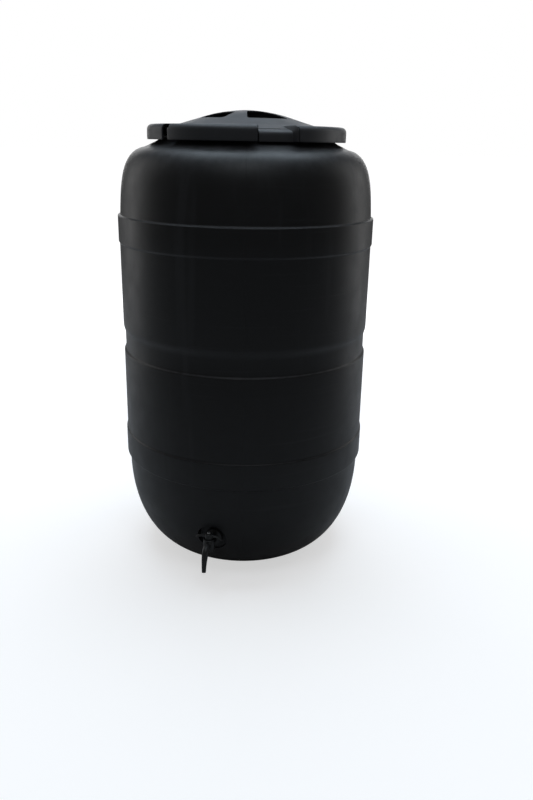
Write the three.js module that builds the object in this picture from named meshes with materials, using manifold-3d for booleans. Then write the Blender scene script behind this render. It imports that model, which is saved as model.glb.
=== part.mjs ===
// Rain barrel: a blow-moulded plastic butt with a twist-lock lid and a small plug tap.
// Millimetres, +Z up. The origin is the centre of the base, and the tap points along -Y.
import * as THREE from 'three';
import * as BufferGeometryUtils from 'three/addons/utils/BufferGeometryUtils.js';
import Module from 'manifold-3d';

const wasm = await Module();
wasm.setup();

// ---- driving dimensions ----
const segments = 48;            // facets around the large turned parts
const smallSegments = 18;       // facets around the tap parts
const bowlSteps = 10;
const gap = 0.3;                // clearance between pieces that touch

// barrel body
const wallRadius = 288;
const wall = 4.5;
const hoopRise = 2.6;           // how far the raised hoops stand out
const hoopEdge = 3;             // height of a hoop's sloping edge
const upperHoopTop = 812;
const upperHoopHeight = 57;
const grooveTop = 562;
const grooveHeight = 54;
const grooveDepth = 4;
const grooveUpperSlope = 12;
const lowerHoopTop = 310;
const lowerHoopHeight = 60;
const footRadius = 120;
const bowlFullness = 2.3;       // power of the bowl's outline, where 2 is an ellipse
const bowlInset = 4;            // how far the bowl's rim lies inside the wall
const shoulderInset = 3;        // how far the shoulder's start lies inside the wall
const neckRadius = 192;
const neckWall = 5;
const neckTop = 984;
const neckHeight = 9;
const neckFillet = 8;
const neckFilletDrop = 0.7;     // the fillet's height as a share of its width
const shoulderFlat = 34;        // from the neck out to where the shoulder rounds over
const shoulderDrop = 26.5;       // from the neck's rim down to the shoulder's flat
const shoulderLean = { lower: 4, upper: 5, drop: 9.5, share: 0.47 };

// bayonet between neck and lid
const lugCount = 4;
const lugReach = 11;
const lugThick = 3.4;
const lugDrop = 1;              // top of the lug below the neck's rim
const lugHalfAngle = 7;
const firstLug = 40;            // degrees from -Y toward +X
const lidTurn = 26;             // degrees from dropped on to locked
const stopAngle = 2.7;
const stopClear = 0.2;          // degrees left between a locked hook and its stop
const hookThick = 2.5;
const hookClear = 0.6;
const hookOverlap = 4;

// lid
const lidOverhang = 28;         // from the neck out to the lid's rim
const lidRise = 20;             // from the neck's rim up to the lid's flat ring
const lidSkin = 3;
const rimRound = 11;
const rimSkirt = 4;             // how far the rim hangs below its hooks
const domeRise = 33;
const webThick = 3;             // cross rib under the handle arch
const webDrop = 28.5;           // from the dome's peak down to the rib's lower edge
const webTurn = 7;              // degrees that the rib is turned from the X axis
// The dome's line: shares of the way out to its edge, and of its rise that it has dropped by there.
const domeShares = [[0, 0], [0.24, 0.08], [0.5, 0.29], [0.79, 0.68], [1, 0.96]];
const domeFoot = 8;             // from the dome's edge out to the flat ring
const notchStart = 22;
const notchEnd = 43;
const notchReach = 67;          // from the rim in to where a notch runs out into the dome
const notchDepth = 13.5;        // how far a notch's wall stands back from the rim
const notchLip = 11.5;          // drop of a notch's floor below the lid's top, at its wall
const slotStart = -37;
const slotEnd = -31.5;
const notchDraft = 2;           // how far the notch's wall leans out at its foot
const notchBlend = 3;           // how far the notch's floor runs in under the dome
const notchCheek = 0.9;         // degrees that a notch's side wall takes
const windowMargin = 49;        // from the dome's edge in to the windows
const wideWindow = { inner: 38, start: 16, end: 71 };
const slimWindow = { inner: 55, start: -56, end: -12 };
const windowCorner = 8;
const sealThick = 2.5;
const sealWidth = 7;
const panThick = 2.5;
const plugDepth = 14;
const plugClear = 2;
const plugWall = 3;

// tap
const tapHeight = 112;
const shankRadius = 13;
const shankBore = 6;
const boreClear = 0.6;
const pocketRadius = 34;
const pocketRise = 4;           // centre of the pocket above the tap's axis
const padSink = 9.5;            // pad's face inside the bowl, at the washer's lower edge
const padWall = 5;
const pocketWall = 4;
const seatClear = 0.17;         // least room between the inner washer's edge and the bowl
const washerRadius = 20;
const washerThick = 2.7;
const flangeRadius = 19;
const flangeThick = 4;
const nutAcross = 36;
const nutThick = 10;
const shankPastNut = 5;
const valveRadius = 13;
const valveRise = 14;           // valve's top above the tap's axis
const valveDrop = 16;           // valve's bottom below the tap's axis
const plugRadius = 8.5;
const plugBore = 5;
const plugFloor = 3;
const stemRadius = 4.5;
const outletRadius = 8.5;
const outletBore = 5;
const elbowReach = 25;          // elbow's centre beyond the valve's axis
const spoutTipRadius = 6.5;
const spoutTipBore = 4;
const spoutDrop = 50;           // spout's tip below the tap's axis
const spoutLean = 15;           // degrees outward
const ringRadius = 0.9;
const handleHalf = 31;
const handleDepth = 8;
const handleThick = 7;
const handleDroop = 6.5;
const handleHub = 9.5;
const stemHeight = 12;
const screwHead = 4;
const screwRadius = 1.8;
const screwLength = 8;
const screwHeadHeight = 2.2;
const capThick = 1.5;           // the handle's cap above the stem

// ---- sizes that follow from them ----
const bowlRim = wallRadius - bowlInset;
const bowlTop = lowerHoopTop - lowerHoopHeight - hoopEdge;
const shoulderStart = wallRadius - shoulderInset;
const shoulderEdge = neckRadius + shoulderFlat;
const shoulderTop = neckTop - shoulderDrop;
const neckBase = neckTop - neckHeight;
const lidRadius = neckRadius + lidOverhang;
const lidTop = neckTop + lidRise;
const domePeak = lidTop + domeRise;
const notchInner = lidRadius - notchReach;
const domeEdge = domePeak - domeRise * domeShares[domeShares.length - 1][1];
const windowOuter = notchInner - windowMargin;
const valveOut = wallRadius;    // the valve's axis stands under the wall
const valveTop = tapHeight + valveRise;
const valveBottom = tapHeight - valveDrop;
const elbowOut = valveOut + elbowReach;

// ---- helpers ----
const radians = THREE.MathUtils.degToRad;

// Angles here start at -Y and grow toward +X.
function around(radius, degrees) {
  const angle = radians(degrees - 90);
  return new THREE.Vector2(radius * Math.cos(angle), radius * Math.sin(angle));
}

function point(radius, height) {
  return new THREE.Vector2(radius, height);
}

// An arc in the radius-height plane, from one angle to another, in degrees from the +radius direction.
function arc(radius, height, across, up, from, to, steps) {
  const points = [];
  for (let step = 0; step <= steps; step += 1) {
    const angle = radians(from + ((to - from) * step) / steps);
    points.push(point(radius + across * Math.cos(angle), height + up * Math.sin(angle)));
  }
  return points;
}

// The same outline moved sideways, square to itself, by a wall's thickness.
function offsetOutline(points, distance) {
  return points.map((current, index) => {
    const before = points[Math.max(index - 1, 0)];
    const after = points[Math.min(index + 1, points.length - 1)];
    const first = current.clone().sub(before).normalize();
    const second = after.clone().sub(current).normalize();
    const along = first.add(second).normalize();
    const turn = index === 0 || index === points.length - 1 ? 1 : Math.max(along.dot(second), 0.5);
    return point(current.x - (along.y * distance) / turn, current.y + (along.x * distance) / turn);
  });
}

function manifoldOf(geometry) {
  const bare = geometry.index ? geometry.toNonIndexed() : geometry.clone();
  bare.deleteAttribute('normal');
  bare.deleteAttribute('uv');
  const merged = BufferGeometryUtils.mergeVertices(bare, 1e-4);
  const corners = [];
  for (let index = 0; index < merged.index.count; index += 3) {
    const triangle = [merged.index.getX(index), merged.index.getX(index + 1), merged.index.getX(index + 2)];
    if (new Set(triangle).size === 3) {
      corners.push(...triangle);
    }
  }
  return new wasm.Manifold(new wasm.Mesh({
    numProp: 3,
    vertProperties: new Float32Array(merged.attributes.position.array),
    triVerts: new Uint32Array(corners),
  }));
}

function geometryOf(solid) {
  const mesh = solid.getMesh();
  const geometry = new THREE.BufferGeometry();
  geometry.setAttribute('position', new THREE.BufferAttribute(new Float32Array(mesh.vertProperties), 3));
  geometry.setIndex(new THREE.BufferAttribute(new Uint32Array(mesh.triVerts), 1));
  geometry.computeVertexNormals();
  return geometry;
}

// A closed outline in the radius-height plane, turned about Z. It runs counter-clockwise.
function turned(points, count = segments) {
  const closed = [...points, points[0].clone()];
  return manifoldOf(new THREE.LatheGeometry(closed, count).rotateX(Math.PI / 2));
}

function ring(inner, outer, low, high, count = segments) {
  return turned([point(inner, low), point(outer, low), point(outer, high), point(inner, high)], count);
}

function rod(radius, low, high, count = smallSegments) {
  const geometry = new THREE.CylinderGeometry(radius, radius, high - low, count);
  return manifoldOf(geometry.rotateX(Math.PI / 2).translate(0, 0, (low + high) / 2));
}

// A rod along Y at the tap's height, between two distances out from the barrel's axis.
function tapRod(radius, near, far, count = smallSegments) {
  const geometry = new THREE.CylinderGeometry(radius, radius, far - near, count);
  return manifoldOf(geometry.translate(0, -(near + far) / 2, tapHeight));
}

// A pie slice that reaches past the lid, for cutting turned parts into sectors.
function wedge(start, end) {
  const reach = lidRadius * 2;
  const shape = new THREE.Shape([new THREE.Vector2(0, 0), around(reach, start), around(reach, end)]);
  return manifoldOf(new THREE.ExtrudeGeometry(shape, { depth: domePeak * 2, bevelEnabled: false }));
}

function named(name, solid, material) {
  const mesh = new THREE.Mesh(geometryOf(solid), material);
  mesh.name = name;
  return mesh;
}

function plastic(color, roughness) {
  return new THREE.MeshStandardMaterial({ color, roughness, metalness: 0 });
}

// ---- barrel ----
function bowlRadius(height) {
  const share = (bowlTop - height) / bowlTop;
  return footRadius + (bowlRim - footRadius) * (1 - share ** bowlFullness) ** (1 / bowlFullness);
}

function bowlOutline() {
  const points = [];
  for (let step = 0; step < bowlSteps; step += 1) {
    const angle = radians((90 * step) / bowlSteps);
    const out = Math.sin(angle) ** (2 / bowlFullness);
    const down = Math.cos(angle) ** (2 / bowlFullness);
    points.push(point(footRadius + (bowlRim - footRadius) * out, bowlTop * (1 - down)));
  }
  return points;
}

// The bowl's inner radius at a height, on the flats between its facets.
function bowlInside(height) {
  const share = (bowlTop - height) / bowlTop;
  const rest = (1 - share ** bowlFullness) ** (1 / bowlFullness - 1);
  const slope = (((bowlRim - footRadius) * share ** (bowlFullness - 1)) / bowlTop) * rest;
  return (bowlRadius(height) - wall * Math.hypot(1, slope)) * Math.cos(Math.PI / segments);
}

function raisedHoop(top, height, below, above) {
  return [
    point(below, top - height - hoopEdge),
    point(wallRadius + hoopRise, top - height),
    point(wallRadius + hoopRise, top),
    point(above, top + hoopEdge),
  ];
}

function grooveOutline() {
  const bottom = grooveTop - grooveHeight;
  return [
    point(wallRadius, bottom - hoopEdge),
    point(wallRadius - grooveDepth, bottom),
    point(wallRadius - grooveDepth, grooveTop - grooveUpperSlope),
    point(wallRadius, grooveTop),
  ];
}

function shoulderOutline() {
  const rise = shoulderTop - upperHoopTop;
  const curve = new THREE.CubicBezierCurve(
    point(shoulderStart, upperHoopTop + hoopEdge),
    point(shoulderStart - shoulderLean.lower, upperHoopTop + rise * shoulderLean.share),
    point(shoulderStart - shoulderLean.upper, shoulderTop - shoulderLean.drop),
    point(shoulderEdge, shoulderTop),
  );
  return curve.getPoints(7).slice(1);
}

function bodyOutline() {
  return [
    ...bowlOutline(),
    ...raisedHoop(lowerHoopTop, lowerHoopHeight, bowlRim, wallRadius),
    ...grooveOutline(),
    ...raisedHoop(upperHoopTop, upperHoopHeight, wallRadius, shoulderStart),
    ...shoulderOutline(),
    point(neckRadius + neckFillet, neckBase - neckFillet * neckFilletDrop),
    point(neckRadius, neckBase),
  ];
}

function padFace() {
  return bowlRadius(tapHeight - washerRadius) - padSink;
}

function pocketRod(radius, near, far) {
  return tapRod(radius, near, far, 32).translate([0, 0, pocketRise]);
}

function lugs() {
  const top = neckTop - lugDrop;
  const lugRing = ring(neckRadius - 1, neckRadius + lugReach, top - lugThick, top);
  const stopRing = ring(neckRadius - 1, neckRadius + lugReach, neckBase, top);
  const parts = [];
  for (let index = 0; index < lugCount; index += 1) {
    const centre = firstLug + (360 / lugCount) * index;
    const low = centre - lugHalfAngle;
    parts.push(lugRing.intersect(wedge(low - stopAngle, centre + lugHalfAngle)));
    parts.push(stopRing.intersect(wedge(low - stopAngle, low - stopClear)));
  }
  return parts;
}

function barrelShell() {
  const outer = bodyOutline();
  const inner = offsetOutline(outer.slice(0, -1), wall).reverse();
  const solid = turned([point(0, 0), ...outer, point(neckRadius, neckTop), point(0, neckTop)]);
  const neckInner = neckRadius - neckWall;
  const hollow = turned([
    point(0, wall),
    ...inner.slice().reverse().filter((p) => p.x > neckInner || p.y < neckBase),
    point(neckInner, neckBase),
    point(neckInner, neckTop + 1),
    point(0, neckTop + 1),
  ]);
  const face = padFace();
  const back = face - padWall;
  const boss = pocketRod(pocketRadius + pocketWall, back, wallRadius).intersect(solid);
  let shell = solid.subtract(hollow).add(boss);
  shell = shell.subtract(pocketRod(pocketRadius, face, wallRadius * 1.5));
  shell = shell.subtract(tapRod(shankRadius + boreClear, back - 1, face + 1));
  for (const lug of lugs()) {
    shell = shell.add(lug);
  }
  return shell;
}

// ---- lid ----
const sealLow = neckTop + gap;
const flangeLow = sealLow + sealThick + gap;
const flangeHigh = flangeLow + panThick;
const lugLow = neckTop - lugDrop - lugThick;
const hookHigh = lugLow - hookClear;
const hookLow = hookHigh - hookThick;
const rimLow = hookLow - rimSkirt;
const plugOuter = neckRadius - neckWall - plugClear;

// The dome's top line from the axis outward, as a smooth curve through its heights.
function domeLine(sunk) {
  const places = domeShares.map(([out, down]) => point(notchInner * out, domePeak - domeRise * down - sunk));
  return new THREE.SplineCurve(places).getPoints(8);
}

function lidSkinSolid() {
  const outerRound = arc(lidRadius - rimRound, lidTop - rimRound, rimRound, rimRound, 0, 90, 4);
  const inside = rimRound - lidSkin;
  const innerRound = arc(lidRadius - rimRound, lidTop - rimRound, inside, inside, 90, 0, 3);
  return turned([
    point(lidRadius, rimLow),
    ...outerRound,
    point(notchInner + domeFoot, lidTop),
    ...domeLine(0).reverse(),
    ...domeLine(lidSkin),
    point(notchInner + domeFoot, lidTop - lidSkin),
    ...innerRound,
    point(lidRadius - lidSkin, rimLow),
  ]);
}

function notchFloor() {
  const face = lidRadius - notchDepth;
  const lip = lidTop - notchLip;
  return turned([
    point(face + notchDraft, rimLow),
    point(face, lip),
    point(notchInner, domeEdge),
    point(notchInner - notchBlend, domeEdge + 0.8),
    point(notchInner - notchBlend, domeEdge + 0.8 - lidSkin),
    point(notchInner, domeEdge - lidSkin),
    point(face - lidSkin, lip - lidSkin + 0.6),
    point(face + notchDraft - lidSkin, rimLow),
  ]);
}

function notchSide() {
  const face = lidRadius - notchDepth;
  return turned([
    point(notchInner, domeEdge - lidSkin),
    point(face, lidTop - notchLip - lidSkin),
    point(face, lidTop - 1),
    point(notchInner + domeFoot, lidTop - 0.5),
    point(notchInner, domeEdge - 0.5),
  ]);
}

// A kidney-shaped opening through the dome beside the handle arch.
function windowCutter({ inner, start, end }) {
  const shape = new THREE.Shape();
  const outerTrim = THREE.MathUtils.radToDeg(windowCorner / windowOuter);
  const innerTrim = THREE.MathUtils.radToDeg(windowCorner / inner);
  const turn = (degrees) => radians(degrees - 90);
  shape.absarc(0, 0, windowOuter, turn(start + outerTrim), turn(end - outerTrim), false);
  const outerCorner = around(windowOuter, end);
  const outerSide = around(windowOuter - windowCorner, end);
  shape.quadraticCurveTo(outerCorner.x, outerCorner.y, outerSide.x, outerSide.y);
  const innerSide = around(inner + windowCorner, end);
  shape.lineTo(innerSide.x, innerSide.y);
  const innerCorner = around(inner, end);
  const innerNext = around(inner, end - innerTrim);
  shape.quadraticCurveTo(innerCorner.x, innerCorner.y, innerNext.x, innerNext.y);
  shape.absarc(0, 0, inner, turn(end - innerTrim), turn(start + innerTrim), true);
  const startCorner = around(inner, start);
  const startSide = around(inner + windowCorner, start);
  shape.quadraticCurveTo(startCorner.x, startCorner.y, startSide.x, startSide.y);
  const lastSide = around(windowOuter - windowCorner, start);
  shape.lineTo(lastSide.x, lastSide.y);
  const lastCorner = around(windowOuter, start);
  const lastNext = around(windowOuter, start + outerTrim);
  shape.quadraticCurveTo(lastCorner.x, lastCorner.y, lastNext.x, lastNext.y);
  const solid = new THREE.ExtrudeGeometry(shape, { depth: domePeak, bevelEnabled: false, curveSegments: 8 });
  return manifoldOf(solid.translate(0, 0, lidTop - lidSkin * 2));
}

// A cross rib under the arch, from its underside down to just above the finger room.
function archWeb() {
  const low = domePeak - webDrop;
  const under = turned([point(0, low), point(notchInner, low), ...domeLine(lidSkin / 2).reverse()]);
  const slab = new THREE.BoxGeometry(notchInner * 2, webThick, webDrop * 2);
  return manifoldOf(slab.translate(0, 0, domePeak)).rotate([0, 0, webTurn]).intersect(under);
}

function hooks() {
  const hookRing = ring(neckRadius + lugReach - hookOverlap, lidRadius - 1, hookLow, hookHigh);
  const parts = [];
  for (let index = 0; index < lugCount; index += 1) {
    const centre = firstLug + lidTurn + (360 / lugCount) * index;
    parts.push(hookRing.intersect(wedge(centre - lugHalfAngle, centre + lugHalfAngle)));
  }
  return parts;
}

function lidCover() {
  const notchRing = ring(notchInner, lidRadius * 1.1, rimLow - 1, domePeak);
  const slotRing = ring(lidRadius - notchDepth, lidRadius * 1.1, rimLow - 1, domePeak);
  let cover = lidSkinSolid();
  for (const half of [0, 180]) {
    const start = notchStart + half;
    const end = notchEnd + half;
    cover = cover.subtract(notchRing.intersect(wedge(start, end)));
    cover = cover.subtract(slotRing.intersect(wedge(slotStart + half, slotEnd + half)));
    cover = cover.add(notchFloor().intersect(wedge(start - notchCheek, end + notchCheek)));
    cover = cover.add(notchSide().intersect(wedge(start - notchCheek, start)));
    cover = cover.add(notchSide().intersect(wedge(end, end + notchCheek)));
    cover = cover.subtract(windowCutter(shifted(wideWindow, half)));
    cover = cover.subtract(windowCutter(shifted(slimWindow, half)));
  }
  const ribRing = ring(plugOuter - 1, plugOuter + 3, flangeHigh + gap, lidTop - notchLip + 2);
  cover = cover.add(ribRing).add(archWeb());
  for (const hook of hooks()) {
    cover = cover.add(hook);
  }
  return cover;
}

function shifted(opening, turn) {
  return { inner: opening.inner, start: opening.start + turn, end: opening.end + turn };
}

function lidPan() {
  const plugInner = plugOuter - plugWall;
  const discLow = flangeLow - panThick * 2;
  return turned([
    point(0, discLow),
    point(plugInner, discLow),
    point(plugInner, neckTop - plugDepth),
    point(plugOuter, neckTop - plugDepth),
    point(plugOuter, flangeLow),
    point(plugOuter + sealWidth + plugClear - 1, flangeLow),
    point(plugOuter + sealWidth + plugClear - 1, flangeHigh),
    point(plugInner, flangeHigh),
    point(plugInner, discLow + panThick),
    point(0, discLow + panThick),
  ]);
}

function lidSeal() {
  const inner = neckRadius - neckWall - 1;
  return ring(inner, inner + sealWidth, sealLow, sealLow + sealThick);
}

// ---- tap ----
const face = padFace();
const washerNear = face + gap;
const flangeNear = washerNear + washerThick + gap;
const innerWasherFar = Math.min(face - padWall - gap, bowlInside(tapHeight - washerRadius) - seatClear);
const nutFar = innerWasherFar - washerThick - gap;
const nutNear = nutFar - nutThick;

function tapBody() {
  const lean = radians(spoutLean);
  const length = spoutDrop / Math.cos(lean);
  const spout = (top, tip, extra) => {
    const geometry = new THREE.CylinderGeometry(top, tip, length + extra, smallSegments);
    geometry.rotateX(Math.PI / 2).translate(0, 0, -(length + extra) / 2);
    return manifoldOf(geometry.rotateX(-lean).translate(0, -elbowOut, tapHeight));
  };
  const elbow = (radius) => manifoldOf(
    new THREE.SphereGeometry(radius, smallSegments, 12).translate(0, -elbowOut, tapHeight),
  );
  let body = tapRod(shankRadius, nutNear - shankPastNut, flangeNear + 1);
  body = body.add(tapRod(flangeRadius, flangeNear, flangeNear + flangeThick));
  body = body.add(tapRod(outletRadius + 1, flangeNear, valveOut));
  body = body.add(rod(valveRadius, valveBottom, valveTop).translate([0, -valveOut, 0]));
  body = body.add(tapRod(outletRadius, valveOut, elbowOut));
  body = body.add(elbow(outletRadius));
  body = body.add(spout(outletRadius, spoutTipRadius, 0));
  const bores = [
    tapRod(shankBore, nutNear - shankPastNut - 1, valveOut),
    tapRod(outletBore, valveOut, elbowOut),
    elbow(outletBore),
    spout(outletBore, spoutTipBore, 2),
    rod(plugRadius + gap, valveBottom + plugFloor, valveTop + 1).translate([0, -valveOut, 0]),
  ];
  for (const bore of bores) {
    body = body.subtract(bore);
  }
  return body;
}

function tapPlug() {
  const low = valveBottom + plugFloor + gap;
  let plug = rod(plugRadius, low, valveTop);
  plug = plug.add(rod(stemRadius, valveTop - 1, valveTop + stemHeight));
  const across = new THREE.CylinderGeometry(plugBore, plugBore, plugRadius * 3, smallSegments);
  plug = plug.subtract(manifoldOf(across.rotateZ(Math.PI / 2).translate(0, 0, tapHeight)));
  for (const height of ringHeights()) {
    plug = plug.subtract(ring(plugRadius - ringRadius * 1.5, plugRadius + 1, height - ringRadius - 0.1,
      height + ringRadius + 0.1, smallSegments));
  }
  const stemTop = valveTop + stemHeight;
  plug = plug.subtract(rod(screwRadius + gap, stemTop - screwLength, stemTop + 1));
  return plug.translate([0, -valveOut, 0]);
}

function ringHeights() {
  const edge = plugBore + ringRadius * 3;
  return [tapHeight - edge, tapHeight + edge];
}

function oRing(height) {
  const across = ringRadius * 0.85;
  const centre = plugRadius - ringRadius * 0.6;
  const geometry = new THREE.TorusGeometry(centre, across * 0.9, 6, smallSegments);
  return manifoldOf(geometry.translate(0, -valveOut, height));
}

// The handle is a bar across the flow with drooping wing ends, on a round hub.
function tapHandle() {
  const low = valveTop + gap * 2;
  const top = valveTop + stemHeight;
  const shape = new THREE.Shape();
  shape.moveTo(-handleHalf, low - handleDroop + handleThick);
  shape.lineTo(-handleHalf + 3, low - handleDroop + 2);
  shape.quadraticCurveTo(-handleHalf + 7, top - handleThick - 1, -handleHub, top - handleThick);
  shape.lineTo(handleHub, top - handleThick);
  shape.quadraticCurveTo(handleHalf - 7, top - handleThick - 1, handleHalf - 3, low - handleDroop + 2);
  shape.lineTo(handleHalf, low - handleDroop + handleThick);
  shape.quadraticCurveTo(handleHalf - 3, top, handleHub, top);
  shape.lineTo(-handleHub, top);
  shape.quadraticCurveTo(-handleHalf + 3, top, -handleHalf, low - handleDroop + handleThick);
  const bar = new THREE.ExtrudeGeometry(shape, { depth: handleDepth, bevelEnabled: false, curveSegments: 5 });
  let handle = manifoldOf(bar.rotateX(Math.PI / 2).translate(0, handleDepth / 2, 0));
  handle = handle.add(rod(handleHub, low, top));
  handle = handle.subtract(rod(stemRadius + gap, low - 1, top + 1));
  handle = handle.add(rod(handleHub - 1, top + gap, top + gap + capThick).subtract(
    rod(screwRadius + gap, top, top + 3),
  ));
  handle = handle.add(ring(stemRadius + gap, handleHub - 1, top - 0.5, top + gap + 1, smallSegments));
  return handle.translate([0, -valveOut, 0]);
}

function handleScrew() {
  const seat = valveTop + stemHeight + gap + capThick + gap;
  const head = rod(screwHead, seat, seat + screwHeadHeight);
  const shank = rod(screwRadius, seat - screwLength, seat + 0.5);
  return head.add(shank).translate([0, -valveOut, 0]);
}

function washer(near, far) {
  const solid = tapRod(washerRadius, near, far);
  return solid.subtract(tapRod(shankRadius + boreClear, near - 1, far + 1));
}

function backNut() {
  const solid = tapRod(nutAcross / Math.sqrt(3), nutNear, nutFar, 6);
  return solid.subtract(tapRod(shankRadius + gap, nutNear - 1, nutFar + 1));
}

// ---- assembly ----
const barrelPlastic = plastic(0x17181b, 0.42);
const lidPlastic = plastic(0x222327, 0.5);
const tapPlastic = plastic(0x101012, 0.45);
const rubber = plastic(0x0c0c0c, 0.85);
const steel = new THREE.MeshStandardMaterial({ color: 0x9a9a9a, roughness: 0.35, metalness: 0.9 });
const [lowerRing, upperRing] = ringHeights();

const barrel = new THREE.Group();
barrel.add(named('barrel_shell', barrelShell(), barrelPlastic));

const lid = new THREE.Group();
lid.add(named('lid_cover', lidCover(), lidPlastic));
lid.add(named('lid_pan', lidPan(), lidPlastic));
lid.add(named('lid_seal', lidSeal(), rubber));
barrel.add(lid);

const tap = new THREE.Group();
tap.add(named('tap_body', tapBody(), tapPlastic));
tap.add(named('tap_plug', tapPlug(), tapPlastic));
tap.add(named('tap_handle', tapHandle(), tapPlastic));
tap.add(named('handle_screw', handleScrew(), steel));
tap.add(named('plug_o_ring_upper', oRing(upperRing), rubber));
tap.add(named('plug_o_ring_lower', oRing(lowerRing), rubber));
tap.add(named('tap_flange_washer', washer(washerNear, washerNear + washerThick), rubber));
tap.add(named('tap_inner_washer', washer(innerWasherFar - washerThick, innerWasherFar), rubber));
tap.add(named('tap_back_nut', backNut(), tapPlastic));
barrel.add(tap);

export default barrel;
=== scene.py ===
"""Rain barrel: the blow-moulded body, the twist lid with its handle arch, the plug tap and the studio stage.

Every piece is drawn in metres in the frame's own axes: +Z up, the base at zero and the tap along -Y.
"""
import math

import bmesh
import bpy
from mathutils import Matrix, Vector


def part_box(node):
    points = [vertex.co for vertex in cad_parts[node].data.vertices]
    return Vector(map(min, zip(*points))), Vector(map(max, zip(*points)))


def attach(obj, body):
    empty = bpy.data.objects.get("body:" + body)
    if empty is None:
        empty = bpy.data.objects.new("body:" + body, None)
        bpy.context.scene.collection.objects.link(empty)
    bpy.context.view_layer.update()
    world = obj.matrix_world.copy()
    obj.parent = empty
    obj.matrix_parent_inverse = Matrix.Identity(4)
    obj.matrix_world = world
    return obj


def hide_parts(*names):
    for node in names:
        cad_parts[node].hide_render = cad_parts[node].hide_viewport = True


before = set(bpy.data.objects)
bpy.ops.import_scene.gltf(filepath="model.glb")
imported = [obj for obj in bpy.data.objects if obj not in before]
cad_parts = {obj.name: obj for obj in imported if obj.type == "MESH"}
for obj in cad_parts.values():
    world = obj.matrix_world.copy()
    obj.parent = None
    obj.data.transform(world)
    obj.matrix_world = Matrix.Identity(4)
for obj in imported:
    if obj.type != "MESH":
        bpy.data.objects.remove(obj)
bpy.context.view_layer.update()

bl_info = {
    "name": "Rain Barrel Builder",
    "version": (1, 0, 0),
    "blender": (4, 5, 0),
    "location": "View3D > Sidebar > Rain Barrel",
    "description": "Builds a moulded rain barrel with a twist lid and a small plug tap",
    "category": "Object",
}

SHELL_LOW, SHELL_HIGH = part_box("barrel_shell")
LID_LOW, LID_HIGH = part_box("lid_cover")
PAN_LOW, PAN_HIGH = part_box("lid_pan")
SEAL_LOW, SEAL_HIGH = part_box("lid_seal")
TAP_LOW, TAP_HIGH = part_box("tap_body")
PLUG_LOW, PLUG_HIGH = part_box("tap_plug")
HANDLE_LOW, HANDLE_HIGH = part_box("tap_handle")
SCREW_LOW, SCREW_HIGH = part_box("handle_screw")
NUT_LOW, NUT_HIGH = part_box("tap_back_nut")
FLANGE_WASHER_LOW, FLANGE_WASHER_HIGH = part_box("tap_flange_washer")

ROUND_STEPS = 192
LID_STEPS = 360
SMALL_STEPS = 48
FULL_TURN = 2 * math.pi
HALVES = (0, 180)
QUARTERS = (0, 90, 180, 270)
ORIGIN = (0, 0, 0)
MERGE = 1e-6            # corners nearer than this become one
NEAR = 1e-5             # corners nearer than this to an outline's point are its own
SEAT = 0.0003           # room between pieces that sit on one another

# Bayonet: degrees from -Y toward +X of the first lug and hook, and their edges from there
LUG_FIRST, LUG_START, LUG_END, STOP_END = 40, -9.7, 7, -7.2
HOOK_FIRST, HOOK_HALF = 66, 7
WEB_TURN = 7

# Lid: shares of (dome radius, dome rise), the flat ring's edge loops and how the skin is divided
DOME_SHAPE = ((0, 0), (0.24, 0.08), (0.5, 0.29), (0.79, 0.68), (1.0, 0.96))
DOME_STEPS = 24
FLAT_RADII = (0.160, 0.168, 0.176, 0.184, 0.192, 0.199, 0.206)
CORNER_STEPS = 6
FACE_SHARES = (0.75, 0.5, 0.25, 0.08)
WINDOWS = ((0.038, 16, 71), (0.055, -56, -12))      # inner radius, first and last degree

# Tap: radii and heights that several of its pieces share
SHANK_RADIUS, SHANK_BORE, WALL_BORE = 0.0130, 0.006, 0.0136
THREAD_DEPTH, THREAD_PITCH = 0.0009, 0.0018
FLANGE_RADIUS = 0.0190
TAP_NECK = 0.0095
PAD_WALL = 0.005
VALVE_RADIUS, VALVE_GROOVE = 0.0130, 0.0122
VALVE_LOW, VALVE_HIGH = 0.0960, 0.1260
PLUG_RADIUS, PLUG_BORE, STEM_RADIUS = 0.0085, 0.005, 0.0045
PAST_WALL = 0.330       # clear outside the barrel, where a cutter may end

SCUFFED = (0.045, 0.046, 0.050, 1)
# Pale tone for upward-facing surfaces: partly settled dust, partly painted top light standing in for light
# from above
DUST_AND_TOP_LIGHT_TONE = (0.085, 0.082, 0.088, 1)
TARNISH = (0.30, 0.30, 0.29, 1)
FLOOR_PAINT = (0.55, 0.55, 0.56, 1)
FLOOR_GLOW = (0.9, 3.2, 0.58, 1.0)      # from one distance to another, from one strength to another
WORLD_LIGHT = 0.15
WHITE = (1, 1, 1)

# Lamps: distance out, degrees from the camera's side, height, height aimed at, size, watts, tint
LAMPS = {
    "top lamp": (0.5, 180, 3.2, 0.55, (2.6, 1.8), 63, (0.74, 0.88, 1)),
    "left lamp": (2.6, -115, 1.1, 0.55, (1.2, 2.4), 12, WHITE),
    "right lamp": (2.6, 115, 1.1, 0.55, (1.2, 2.4), 12, WHITE),
    "front lamp": (1.6, 0, 3.0, 0.95, (1.6, 1.0), 12, (0.86, 0.93, 1)),
    "back lamp": (3.2, 180, 1.5, 0.9, (3.4, 1.6), 45, WHITE),
}


# ---- sizes and colours that a user can change ----
def length(name, description, default):
    return bpy.props.FloatProperty(name=name, description=description, default=default, unit="LENGTH")


def degrees(name, description, default):
    return bpy.props.FloatProperty(
        name=name, description=description, default=math.radians(default), subtype="ANGLE")


def amount(name, description, default):
    return bpy.props.FloatProperty(
        name=name, description=description, default=default, min=0, max=1, subtype="FACTOR")


def colour(name, description, default):
    return bpy.props.FloatVectorProperty(
        name=name, description=description, default=default, size=3, min=0, max=1, subtype="COLOR")


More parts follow.
